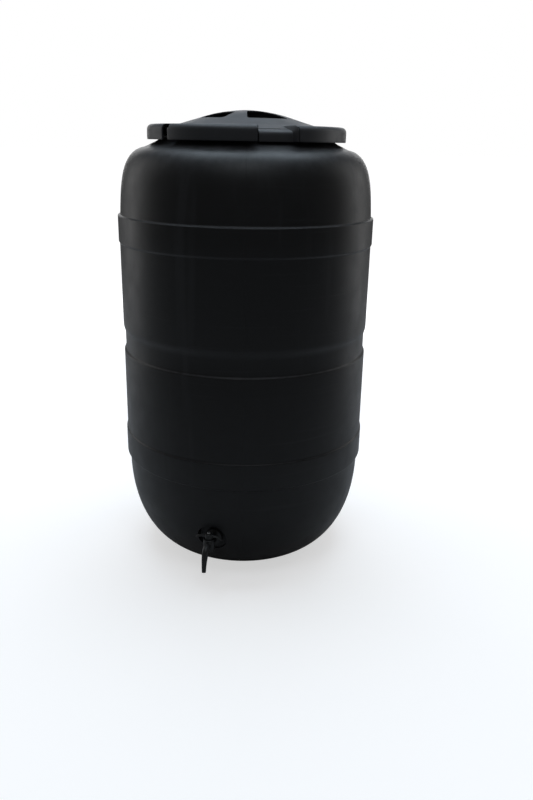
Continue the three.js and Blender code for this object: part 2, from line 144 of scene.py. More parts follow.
class BarrelSizes(bpy.types.PropertyGroup):
    wall_radius: length("Wall radius", "Radius of the plain wall between the hoops", 0.288)
    wall: length("Wall", "Thickness of the moulded wall", 0.0045)
    foot_radius: length("Foot radius", "Radius of the flat base", 0.120)
    bowl_fullness: bpy.props.FloatProperty(
        name="Bowl fullness", description="Power of the bowl's outline, where 2 is an ellipse", default=2.3)
    bowl_rim: length("Bowl rim", "Radius where the bowl meets the lower hoop", 0.284)
    lower_hoop: length("Lower hoop", "Height of the lower hoop's top edge", 0.310)
    lower_hoop_height: length("Lower hoop height", "How tall the lower hoop is", 0.060)
    groove: length("Groove", "Height of the groove's top edge", 0.562)
    groove_height: length("Groove height", "How tall the groove is", 0.054)
    groove_depth: length("Groove depth", "How far the groove is sunk", 0.004)
    upper_hoop: length("Upper hoop", "Height of the upper hoop's top edge", 0.812)
    upper_hoop_height: length("Upper hoop height", "How tall the upper hoop is", 0.057)
    hoop_edge: length("Hoop edge", "Height of a hoop's sloping edge", 0.003)
    shoulder_start: length("Shoulder start", "Radius just above the upper hoop", 0.285)
    shoulder_edge: length("Shoulder edge", "Radius where the shoulder turns flat", 0.226)
    shoulder_top: length("Shoulder top", "Height where the shoulder turns flat", 0.9575)
    neck_radius: length("Neck radius", "Outer radius of the neck", 0.192)
    neck_wall: length("Neck wall", "Thickness of the neck", 0.005)
    neck_base: length("Neck base", "Height where the neck starts", 0.975)
    lug_reach: length("Lug reach", "How far a bayonet lug stands out", 0.011)
    lug_thick: length("Lug thickness", "Thickness of a bayonet lug", 0.0034)


class LidSizes(bpy.types.PropertyGroup):
    top: length("Top", "Height of the lid's flat ring", 1.004)
    skin: length("Skin", "Thickness of the lid", 0.003)
    rim_round: length("Rim rounding", "Radius of the rim's outer edge", 0.011)
    rim_skirt: length("Rim skirt", "How far the rim hangs below its hooks", 0.004)
    web: length("Web", "Thickness of the rib under the handle arch", 0.003)
    web_drop: length("Web drop", "From the arch's top down to the rib's lower edge", 0.0285)
    dome_radius: length("Dome radius", "Radius where the dome meets the flat ring", 0.153)
    notch_depth: length("Notch depth", "How far a notch is set back from the rim", 0.0135)
    notch_lip: length("Notch lip", "Drop of a notch's floor at its wall", 0.0115)
    notch_start: degrees("Notch start", "Angle where a notch starts", 22)
    notch_end: degrees("Notch end", "Angle where a notch ends", 43)
    slot_start: degrees("Slot start", "Angle where a rim slot starts", -37)
    slot_end: degrees("Slot end", "Angle where a rim slot ends", -31.5)
    window_outer: length("Window outer", "Outer radius of the finger windows", 0.104)


class TapSizes(bpy.types.PropertyGroup):
    height: length("Height", "Height of the tap's axis", 0.112)
    valve_out: length("Valve distance", "Valve axis from the barrel's axis", 0.288)
    pocket_radius: length("Pocket radius", "Radius of the moulded pocket round the tap", 0.034)
    pocket_rise: length("Pocket rise", "Centre of the pocket above the tap's axis", 0.004)
    elbow_out: length("Elbow distance", "Spout elbow from the barrel's axis", 0.313)
    spout_radius: length("Spout radius", "Radius of the spout at its elbow", 0.0085)
    spout_tip: length("Spout tip", "Radius of the spout at its tip", 0.0047)
    spout_bore: length("Spout bore", "Radius of the bore at the tip", 0.0033)


class Finishes(bpy.types.PropertyGroup):
    barrel: colour("Barrel", "Colour of the barrel's polyethylene", (0.0042, 0.0042, 0.0045))
    lid: colour("Lid", "Colour of the lid's plastic", (0.0150, 0.0158, 0.0180))
    tap: colour("Tap", "Colour of the tap's plastic", (0.0040, 0.0040, 0.0042))
    rubber: colour("Rubber", "Colour of the seals", (0.0080, 0.0080, 0.0080))
    steel: colour("Steel", "Colour of the zinc-plated screw", (0.55, 0.56, 0.58))
    barrel_gloss: amount("Barrel roughness", "Roughness of the barrel's skin", 0.42)
    lid_gloss: amount("Lid roughness", "Roughness of the lid's skin", 0.48)


class StageSettings(bpy.types.PropertyGroup):
    azimuth: degrees("Azimuth", "Camera's side of the object, from -Y toward +X", 15.5)
    distance: length("Distance", "Camera from the barrel's axis", 1.772)
    height: length("Height", "Height of the camera", 0.9754)
    pitch: degrees("Pitch", "How far the camera looks down", 19.11)
    swing: degrees("Swing", "How far the camera looks to the left of the axis", -1.782)
    roll: degrees("Roll", "Roll of the camera", 1.123)
    lens: bpy.props.FloatProperty(name="Lens", description="Focal length", default=33.75, unit="CAMERA")


# ---- modelling helpers ----
def deselect():
    if bpy.context.object and bpy.context.object.mode != "OBJECT":
        bpy.ops.object.mode_set(mode="OBJECT")
    bpy.ops.object.select_all(action="DESELECT")


def choose(piece):
    deselect()
    piece.select_set(True)
    bpy.context.view_layer.objects.active = piece


def edit_all(piece):
    """Opens a piece in edit mode with all of it selected."""
    choose(piece)
    bpy.ops.object.mode_set(mode="EDIT")
    bpy.ops.mesh.select_mode(type="VERT")
    bpy.ops.mesh.select_all(action="SELECT")


def close_edit(merge=True):
    """Merges doubled corners, turns the faces outwards and leaves edit mode."""
    bpy.ops.mesh.select_all(action="SELECT")
    if merge:
        bpy.ops.mesh.remove_doubles(threshold=MERGE)
    bpy.ops.mesh.normals_make_consistent(inside=False)
    bpy.ops.object.mode_set(mode="OBJECT")


def block(name, size, centre):
    """A box round a place, left in edit mode with all of it selected."""
    deselect()
    bpy.ops.mesh.primitive_cube_add(size=1)
    piece = bpy.context.active_object
    piece.name = piece.data.name = name
    edit_all(piece)
    bpy.ops.transform.resize(value=size)
    bpy.ops.transform.translate(value=centre)
    return piece


def raise_by(piece, rise):
    edit_all(piece)
    bpy.ops.transform.translate(value=(0, 0, rise))
    bpy.ops.object.mode_set(mode="OBJECT")


def pick(test, kind="VERT", only=None):
    """Selects the corners or faces being edited whose place, and the part itself, pass their tests."""
    bpy.ops.mesh.select_mode(type=kind)
    bpy.ops.mesh.select_all(action="DESELECT")
    mesh = bpy.context.edit_object.data
    shape = bmesh.from_edit_mesh(mesh)
    for part in shape.verts if kind == "VERT" else shape.faces:
        place = part.co if kind == "VERT" else part.calc_center_median()
        if test(place) and (only is None or only(part)):
            part.select_set(True)
    shape.select_flush_mode()
    bmesh.update_edit_mesh(mesh)


def radius_of(place):
    return math.hypot(place.x, place.y)


def bearing(place):
    """Angle round the axis in degrees, from -Y toward +X."""
    return math.degrees(math.atan2(place.x, -place.y))


def within(place, start, end):
    """Whether a place's bearing lies between two angles in degrees."""
    return (bearing(place) - start) % 360 <= end - start


def around(radius, turn, height):
    angle = math.radians(turn)
    return Vector((radius * math.sin(angle), -radius * math.cos(angle), height))


def extrude(move=ORIGIN):
    bpy.ops.mesh.extrude_region_move(TRANSFORM_OT_translate={"value": move})


def draw_chain(name, places):
    """Draws a chain of edges corner by corner and leaves it in edit mode."""
    deselect()
    bpy.ops.mesh.primitive_plane_add(size=0.01)
    piece = bpy.context.active_object
    piece.name = piece.data.name = name
    edit_all(piece)
    bpy.ops.mesh.merge(type="CENTER")
    bpy.ops.transform.translate(value=places[0])
    for before, after in zip(places, places[1:]):
        extrude(after - before)
    return piece


def spun(name, outline, steps=ROUND_STEPS, centre=ORIGIN, along=(0, 0, 1), out=(1, 0, 0), closed=True):
    """Turns an outline of (radius, height) round an axis. A closed outline joins its ends first."""
    centre, along, out = Vector(centre), Vector(along), Vector(out)
    piece = draw_chain(name, [centre + out * r + along * h for r, h in outline])
    if closed:
        pick(lambda place: True, only=lambda corner: len(corner.link_edges) == 1)
        bpy.ops.mesh.edge_face_add()
    bpy.ops.mesh.select_all(action="SELECT")
    bpy.ops.mesh.spin(steps=steps, angle=FULL_TURN, center=centre, axis=along)
    close_edit()
    return piece


def sector(name, low, high, inner, outer, start, end, steps=16):
    """A solid slice of a ring between two bearings."""
    turn = Matrix.Rotation(math.radians(start), 3, "Z")
    corners = [(inner, low), (outer, low), (outer, high), (inner, high)]
    piece = draw_chain(name, [turn @ Vector((0, -r, h)) for r, h in corners])
    bpy.ops.mesh.select_all(action="SELECT")
    bpy.ops.mesh.edge_face_add()
    bpy.ops.mesh.select_all(action="SELECT")
    step = math.radians(end - start) / steps
    for _ in range(steps):
        extrude()
        bpy.ops.transform.rotate(value=-step, orient_axis="Z", center_override=ORIGIN)
    close_edit(merge=False)
    return piece


def rounded(corners, steps=4):
    """An outline whose corners (radius, height, fillet) are rounded by their fillets."""
    points = []
    last = len(corners) - 1
    for index, (r, h, fillet) in enumerate(corners):
        corner = Vector((r, h))
        if not fillet or index in (0, last):
            points.append((r, h))
            continue
        before = Vector(corners[index - 1][:2]) - corner
        after = Vector(corners[index + 1][:2]) - corner
        reach = min(fillet, before.length * 0.49, after.length * 0.49)
        first = corner + before.normalized() * reach
        final = corner + after.normalized() * reach
        for step in range(steps + 1):
            t = step / steps
            place = first.lerp(corner, t).lerp(corner.lerp(final, t), t)
            points.append((place.x, place.y))
    return points


def offset(points, distance):
    """The same outline moved sideways, square to itself, by a distance."""
    moved = []
    for index, point in enumerate(points):
        before = Vector(points[max(index - 1, 0)])
        here = Vector(point)
        after = Vector(points[min(index + 1, len(points) - 1)])
        along = (after - here).normalized() + (here - before).normalized()
        along.normalize()
        moved.append((here.x - along.y * distance, here.y + along.x * distance))
    return moved


def use_modifier(piece, kind, **settings):
    choose(piece)
    modifier = piece.modifiers.new(kind.title(), kind)
    for key, value in settings.items():
        setattr(modifier, key, value)
    bpy.ops.object.modifier_apply(modifier=modifier.name)


def combine(piece, other, operation):
    """Cuts or joins one piece with another, which is used up."""
    use_modifier(piece, "BOOLEAN", operation=operation, object=other, solver="EXACT")
    bpy.data.objects.remove(other)


def joined(pieces, name):
    choose(pieces[0])
    for piece in pieces:
        piece.select_set(True)
    bpy.ops.object.join()
    result = bpy.context.active_object
    result.name = result.data.name = name
    return result


def soften(piece, width, angle=40):
    use_modifier(piece, "BEVEL", width=width, segments=2, limit_method="ANGLE",
                 angle_limit=math.radians(angle))


def finish_piece(piece, material, slot, body, *nodes, angle=35):
    choose(piece)
    bpy.ops.object.shade_smooth_by_angle(angle=math.radians(angle))
    piece.data.materials.clear()
    piece.data.materials.append(material)
    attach(piece, body)
    if nodes:
        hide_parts(*nodes)
    deselect()


# ---- materials ----
def add(tree, kind, **settings):
    node = tree.nodes.new(kind)
    for key, value in settings.items():
        setattr(node, key, value)
    return node


def wire(tree, start, start_socket, end, end_socket):
    tree.links.new(start.outputs[start_socket], end.inputs[end_socket])


def math_node(tree, operation, first, second, clamp=False):
    node = add(tree, "ShaderNodeMath", operation=operation, use_clamp=clamp)
    for index, value in enumerate((first, second)):
        if isinstance(value, tuple):
            tree.links.new(value[0].outputs[value[1]], node.inputs[index])
        else:
            node.inputs[index].default_value = value
    return node


def mixed(tree, share, first, second, blend="MIX"):
    """Mixes two colours. Each input is a colour or a node with its socket."""
    node = add(tree, "ShaderNodeMix", data_type="RGBA", blend_type=blend)
    for socket, value in ((0, share), (6, first), (7, second)):
        if isinstance(value[0], bpy.types.Node):
            wire(tree, *value, node, socket)
        else:
            node.inputs[socket].default_value = value
    return node


def ranged(tree, source, socket, low, high, to_low, to_high):
    node = add(tree, "ShaderNodeMapRange")
    for name, value in (("From Min", low), ("From Max", high), ("To Min", to_low), ("To Max", to_high)):
        node.inputs[name].default_value = value
    tree.links.new(source.outputs[socket], node.inputs["Value"])
    return node


def noise(tree, coords, scale, detail, stretch=(1, 1, 1)):
    mapping = add(tree, "ShaderNodeMapping")
    mapping.inputs["Scale"].default_value = stretch
    wire(tree, coords, "Object", mapping, "Vector")
    node = add(tree, "ShaderNodeTexNoise")
    node.inputs["Scale"].default_value = scale
    node.inputs["Detail"].default_value = detail
    wire(tree, mapping, "Vector", node, "Vector")
    return node


def moulded_group():
    """Blow-moulded plastic: cloudy colour, uneven gloss, fine grain, long scuffs, and settled dust that
    doubles as painted top light on upward-facing surfaces.
    """
    name = "Moulded plastic"
    if name in bpy.data.node_groups:
        return bpy.data.node_groups[name]
    group = bpy.data.node_groups.new(name, "ShaderNodeTree")
    face = group.interface
    for label, kind, value in (
        ("Colour", "NodeSocketColor", (0.01, 0.01, 0.01, 1)),
        ("Roughness", "NodeSocketFloat", 0.4),
        ("Cloud", "NodeSocketFloat", 0.3),
        ("Dust", "NodeSocketFloat", 0.2),
        ("Scuffs", "NodeSocketFloat", 0.3),
        ("Grain", "NodeSocketFloat", 0.3),
    ):
        face.new_socket(label, in_out="INPUT", socket_type=kind).default_value = value
    for label, kind in (("Colour", "NodeSocketColor"), ("Roughness", "NodeSocketFloat"),
                        ("Height", "NodeSocketFloat")):
        face.new_socket(label, in_out="OUTPUT", socket_type=kind)
    given = add(group, "NodeGroupInput")
    result = add(group, "NodeGroupOutput")
    coords = add(group, "ShaderNodeTexCoord")
    cloud = noise(group, coords, 5.0, 4, (1, 1, 0.45))
    blotch = noise(group, coords, 24.0, 3)
    scuff = noise(group, coords, 30.0, 6, (1, 1, 0.06))
    ring_scuff = noise(group, coords, 9.0, 8, (0.35, 0.35, 14))
    grain = noise(group, coords, 900.0, 2)
    dust_and_top_light = noise(group, coords, 60.0, 6)
    geometry = add(group, "ShaderNodeNewGeometry")
    normal = add(group, "ShaderNodeSeparateXYZ")
    wire(group, geometry, "Normal", normal, "Vector")
    # Painted top light: surfaces that face up are lightened toward the pale tone, partly as settled dust and
    # partly standing in for light falling from above
    facing = ranged(group, normal, "Z", 0.25, 0.95, 0.0, 1.0)
    dust_and_light_patches = ranged(group, dust_and_top_light, "Fac", 0.35, 0.72, 0.25, 1.0)
    settled_and_top_lit = math_node(group, "MULTIPLY", (facing, "Result"), (dust_and_light_patches, "Result"))
    dust_and_top_light_mask = math_node(group, "MULTIPLY", (settled_and_top_lit, "Value"), (given, "Dust"), clamp=True)
    streak = ranged(group, scuff, "Fac", 0.58, 0.74, 0.0, 1.0)
    rub = ranged(group, ring_scuff, "Fac", 0.60, 0.78, 0.0, 1.0)
    marks = math_node(group, "MAXIMUM", (streak, "Result"), (rub, "Result"))
    scuff_mask = math_node(group, "MULTIPLY", (marks, "Value"), (given, "Scuffs"), clamp=True)
    shade = ranged(group, cloud, "Fac", 0.3, 0.7, 0.78, 1.28)
    grey = add(group, "ShaderNodeCombineColor")
    for channel in ("Red", "Green", "Blue"):
        wire(group, shade, "Result", grey, channel)
    lit = mixed(group, (given, "Cloud"), (given, "Colour"), (grey, "Color"), "MULTIPLY")
    wear_share = math_node(group, "MULTIPLY", (scuff_mask, "Value"), 0.35, clamp=True)
    worn = mixed(group, (wear_share, "Value"), (lit, 2), SCUFFED)
    dusted_and_top_lit = mixed(group, (dust_and_top_light_mask, "Value"), (worn, 2), DUST_AND_TOP_LIGHT_TONE)
    wire(group, dusted_and_top_lit, 2, result, "Colour")
    uneven = ranged(group, blotch, "Fac", 0.3, 0.7, -0.035, 0.045)
    rough = math_node(group, "ADD", (given, "Roughness"), (uneven, "Result"))
    for mask, share, clamp in ((scuff_mask, 0.14, False), (dust_and_top_light_mask, 0.30, True)):
        rise = math_node(group, "MULTIPLY", (mask, "Value"), share)
        rough = math_node(group, "ADD", (rough, "Value"), (rise, "Value"), clamp)
    wire(group, rough, "Value", result, "Roughness")
    fine = math_node(group, "MULTIPLY", (grain, "Fac"), (given, "Grain"))
    wave = math_node(group, "MULTIPLY", (cloud, "Fac"), 3.0)
    height = math_node(group, "ADD", (fine, "Value"), (wave, "Value"))
    height = math_node(group, "SUBTRACT", (height, "Value"), (scuff_mask, "Value"))
    wire(group, height, "Value", result, "Height")
    return group


def new_material(name):
    material = bpy.data.materials.new(name)
    material.use_nodes = True
    return material, material.node_tree


def plastic(name, shade, roughness, cloud, dust_and_top_light, scuffs, grain, depth=0.0004, sheen=0.4):
    """A moulded plastic surface driven by the shared group."""
    if name in bpy.data.materials:
        return bpy.data.materials[name]
    material, tree = new_material(name)
    surface = tree.nodes["Principled BSDF"]
    group = add(tree, "ShaderNodeGroup", node_tree=moulded_group())
    group.inputs["Colour"].default_value = (*shade, 1)
    # The dust amount also sets how strongly painted top light lightens upward-facing surfaces
    for label, value in (("Roughness", roughness), ("Cloud", cloud), ("Dust", dust_and_top_light),
                         ("Scuffs", scuffs), ("Grain", grain)):
        group.inputs[label].default_value = value
    bump = add(tree, "ShaderNodeBump")
    bump.inputs["Strength"].default_value = 0.35
    bump.inputs["Distance"].default_value = depth
    wire(tree, group, "Height", bump, "Height")
    wire(tree, bump, "Normal", surface, "Normal")
    wire(tree, group, "Colour", surface, "Base Color")
    wire(tree, group, "Roughness", surface, "Roughness")
    surface.inputs["IOR"].default_value = 1.5
    surface.inputs["Specular IOR Level"].default_value = sheen
    material.diffuse_color = (*shade, 1)
    return material


def settings():
    return bpy.context.scene


def barrel_plastic():
    look = settings().barrel_finishes
    material = plastic("Black polyethylene", look.barrel, look.barrel_gloss,
                       cloud=0.6, dust_and_top_light=0.30, scuffs=0.35, grain=0.5, sheen=0.28)
    add_mould_seam(material.node_tree)
    return material


def add_mould_seam(tree):
    """Raises the fine parting line that the mould's halves leave down two sides of the barrel."""
    if "Seam" in tree.nodes:
        return
    side = settings().stage_settings.azimuth
    coords = add(tree, "ShaderNodeTexCoord")
    across = add(tree, "ShaderNodeVectorMath", operation="DOT_PRODUCT", name="Seam")
    wire(tree, coords, "Object", across, 0)
    across.inputs[1].default_value = (math.cos(side), math.sin(side), 0)
    away = math_node(tree, "ABSOLUTE", (across, "Value"), 0)
    ridge = ranged(tree, away, "Value", 0.0004, 0.0016, 1.6, 0.0)
    bump = tree.nodes["Bump"]
    group = bump.inputs["Height"].links[0].from_node
    total = math_node(tree, "ADD", (group, "Height"), (ridge, "Result"))
    wire(tree, total, "Value", bump, "Height")


def lid_plastic():
    look = settings().barrel_finishes
    return plastic("Slate lid plastic", look.lid, look.lid_gloss,
                   cloud=0.5, dust_and_top_light=0.6, scuffs=0.35, grain=0.6)


def tap_plastic():
    return plastic("Black tap plastic", settings().barrel_finishes.tap, 0.38,
                   cloud=0.3, dust_and_top_light=0.15, scuffs=0.25, grain=0.4, depth=0.0002)


def rubber():
    return plastic("Seal rubber", settings().barrel_finishes.rubber, 0.72,
                   cloud=0.3, dust_and_top_light=0.3, scuffs=0.2, grain=1.0, depth=0.0002)


def plated_steel():
    name = "Zinc plated steel"
    if name in bpy.data.materials:
        return bpy.data.materials[name]
    material, tree = new_material(name)
    surface = tree.nodes["Principled BSDF"]
    surface.inputs["Metallic"].default_value = 1
    coords = add(tree, "ShaderNodeTexCoord")
    tarnish = noise(tree, coords, 700, 4)
    tone = mixed(tree, (tarnish, "Fac"), (*settings().barrel_finishes.steel, 1), TARNISH)
    wire(tree, tone, 2, surface, "Base Color")
    rough = ranged(tree, tarnish, "Fac", 0.3, 0.7, 0.28, 0.45)
    wire(tree, rough, "Result", surface, "Roughness")
    return material


# ---- barrel body ----
def bowl_points(sizes, steps=36):
    top = sizes.lower_hoop - sizes.lower_hoop_height - sizes.hoop_edge
    across = sizes.bowl_rim - sizes.foot_radius
    points = []
    for step in range(steps):
        angle = math.pi / 2 * step / steps
        out = math.sin(angle) ** (2 / sizes.bowl_fullness)
        down = math.cos(angle) ** (2 / sizes.bowl_fullness)
        points.append((sizes.foot_radius + across * out, top * (1 - down)))
    return points


def shoulder_points(sizes, steps=28):
    rise = sizes.shoulder_top - sizes.upper_hoop
    start = Vector((sizes.shoulder_start, sizes.upper_hoop + sizes.hoop_edge))
    first = Vector((sizes.shoulder_start - 0.004, sizes.upper_hoop + rise * 0.47))
    second = Vector((sizes.shoulder_start - 0.005, sizes.shoulder_top - 0.0095))
    end = Vector((sizes.shoulder_edge, sizes.shoulder_top))
    points = []
    for step in range(1, steps + 1):
        t = step / steps
        u = 1 - t
        place = start * u ** 3 + first * 3 * u * u * t + second * 3 * u * t * t + end * t ** 3
        points.append((place.x, place.y))
    return points


def wall_points(sizes):
    """The hoops and the groove, from the bowl's rim up to the shoulder."""
    hoop = SHELL_HIGH.x
    wall = sizes.wall_radius
    edge = sizes.hoop_edge
    low = sizes.lower_hoop - sizes.lower_hoop_height
    groove_low = sizes.groove - sizes.groove_height
    sunk = wall - sizes.groove_depth
    high = sizes.upper_hoop - sizes.upper_hoop_height
    return rounded([
        (*bowl_points(sizes)[-1], 0),
        (sizes.bowl_rim, low - edge, 0.002),
        (hoop, low, 0.002),
        (hoop, sizes.lower_hoop, 0.0014),
        (wall, sizes.lower_hoop + edge, 0.003),
        (wall, groove_low - edge, 0.003),
        (sunk, groove_low, 0.002),
        (sunk, sizes.groove - 0.012, 0.008),
        (wall, sizes.groove, 0.008),
        (wall, high - edge, 0.004),
        (hoop, high, 0.004),
        (hoop, sizes.upper_hoop, 0.0014),
        (sizes.shoulder_start, sizes.upper_hoop + edge, 0.002),
        (*shoulder_points(sizes)[0], 0),
    ])


def neck_points(sizes):
    lip = 0.0015
    return rounded([
        (*shoulder_points(sizes)[-1], 0),
        (sizes.neck_radius + 0.008, sizes.neck_base - 0.0056, 0.006),
        (sizes.neck_radius, sizes.neck_base, 0.003),
        (sizes.neck_radius, SHELL_HIGH.z, lip),
        (sizes.neck_radius - sizes.neck_wall, SHELL_HIGH.z, lip),
        (sizes.neck_radius - sizes.neck_wall, sizes.neck_base - 0.004, 0),
    ])


def outer_points(sizes):
    shoulder = shoulder_points(sizes)
    return [*bowl_points(sizes), *wall_points(sizes)[1:-1], *shoulder[:-1]]


def base_points():
    """The base from the axis to the foot, with the moulding's shallow ring."""
    return [(0, 0), (0.060, 0), (0.0615, 0.0012), (0.066, 0.0012), (0.0675, 0), (0.110, 0)]


def tap_turned(name, outline, steps=SMALL_STEPS):
    """Turns an outline of (radius, distance out) round the tap's axis."""
    centre = (0, 0, settings().tap_sizes.height)
    return spun(name, outline, steps, centre, (0, -1, 0), (1, 0, 0))


def cylinder_outline(radius, near, far):
    return [(0, near), (radius, near), (radius, far), (0, far)]


class RAINBARREL_OT_body(bpy.types.Operator):
    """Spin the barrel's wall, mould the tap pocket into it and add the bayonet lugs"""
    bl_idname = "rainbarrel.body"
    bl_label = "Barrel body"

    def execute(self, context):
        sizes = context.scene.barrel_sizes
        tap = context.scene.tap_sizes
        outer = outer_points(sizes)
        inner = [point for point in offset(outer, sizes.wall) if point[0] > 0]
        inner_start = (0, sizes.wall)
        outline = [*base_points(), *outer, *neck_points(sizes), *reversed(inner), inner_start]
        body = spun("barrel_body", outline, closed=False)
        face = -FLANGE_WASHER_HIGH.y - SEAT
        back = face - PAD_WALL
        sunk = [(0, 0.002), *offset(outer[:-20], 0.0018), (0, sizes.upper_hoop)]
        backing = tap_turned("pocket_wall", cylinder_outline(tap.pocket_radius + 0.004, back, 0.290))
        raise_by(backing, tap.pocket_rise)
        combine(backing, spun("inner_solid", sunk, closed=False), "INTERSECT")
        combine(body, backing, "UNION")
        pocket = tap_turned("pocket", rounded([
            (0, face, 0), (tap.pocket_radius, face, 0.004),
            (tap.pocket_radius, PAST_WALL, 0), (0, PAST_WALL, 0)]))
        raise_by(pocket, tap.pocket_rise)
        combine(body, pocket, "DIFFERENCE")
        bore = cylinder_outline(WALL_BORE, back - 0.01, face + 0.01)
        combine(body, tap_turned("tap_bore", bore), "DIFFERENCE")
        body = joined([body, *self.lugs(sizes)], "barrel_body")
        finish_piece(body, barrel_plastic(), "barrel_plastic", "barrel", "barrel_shell", angle=30)
        return {"FINISHED"}

    def lugs(self, sizes):
        top = SHELL_HIGH.z - 0.001
        low = top - sizes.lug_thick
        inner = sizes.neck_radius - 0.001
        outer = sizes.neck_radius + sizes.lug_reach
        pieces = []
        for quarter in QUARTERS:
            start = LUG_FIRST + quarter + LUG_START
            lug = sector("lug", low, top, inner, outer, start, LUG_FIRST + quarter + LUG_END)
            stop = sector("lug_stop", sizes.neck_base, low + 0.0004, inner, outer,
                          start, LUG_FIRST + quarter + STOP_END, 4)
            soften(lug, 0.0008)
            soften(stop, 0.0006)
            pieces += [lug, stop]
        return pieces


# ---- lid ----
def dome_heights(sizes):
    """The dome's outline from its peak outward."""
    rise = LID_HIGH.z - sizes.top
    shares = [step / DOME_STEPS for step in range(DOME_STEPS + 1)]
    return [(share * sizes.dome_radius, LID_HIGH.z - rise * smooth_through(DOME_SHAPE, share))
            for share in shares]


def smooth_through(stations, at):
    """A smooth curve through a few stations."""
    for index in range(len(stations) - 1):
        if at <= stations[index + 1][0] + 1e-9:
            break
    low, high = stations[index], stations[index + 1]
    before = stations[index - 1] if index else (-stations[1][0], stations[1][1])
    after = stations[index + 2] if index + 2 < len(stations) else (high[0] + 0.05, high[1] + 0.035)
    span = high[0] - low[0]
    slope_in = (high[1] - before[1]) / (high[0] - before[0]) * span
    slope_out = (after[1] - low[1]) / (after[0] - low[0]) * span
    t = (at - low[0]) / span
    return ((2 * t ** 3 - 3 * t ** 2 + 1) * low[1] + (t ** 3 - 2 * t ** 2 + t) * slope_in
            + (-2 * t ** 3 + 3 * t ** 2) * high[1] + (t ** 3 - t ** 2) * slope_out)


def lid_outline(sizes):
    """The lid's skin from its peak out to the rim and down to its lower edge."""
    rim = LID_HIGH.x
    low = LID_LOW.z
    flat = [(radius, sizes.top) for radius in FLAT_RADII]
    corner = []
    for step in range(CORNER_STEPS + 1):
        angle = math.pi / 2 * step / CORNER_STEPS
        corner.append((rim - sizes.rim_round + sizes.rim_round * math.sin(angle),
                       sizes.top - sizes.rim_round + sizes.rim_round * math.cos(angle)))
    face = [(rim, low + (sizes.top - sizes.rim_round - low) * share) for share in FACE_SHARES]
    return [*dome_heights(sizes), *flat, *corner, *face, (rim - 0.0008, low)]


def notch_outline(sizes, count):
    """Where the same corners lie inside a notch: down a shallow floor, then down its wall."""
    join = dome_heights(sizes)[-1]
    face = LID_HIGH.x - sizes.notch_depth
    lip = sizes.top - sizes.notch_lip
    path = rounded([(*join, 0), (face, lip, 0.006), (face + 0.002, LID_LOW.z, 0)], 5)
    lengths = [0]
    for before, after in zip(path, path[1:]):
        lengths.append(lengths[-1] + math.dist(before, after))
    places = []
    for step in range(1, count + 1):
        reach = lengths[-1] * step / count
        index = next(i for i in range(1, len(path)) if lengths[i] >= reach - 1e-9)
        share = (reach - lengths[index - 1]) / (lengths[index] - lengths[index - 1])
        low, high = Vector(path[index - 1]), Vector(path[index])
        place = low.lerp(high, share)
        places.append((place.x, place.y))
    return places


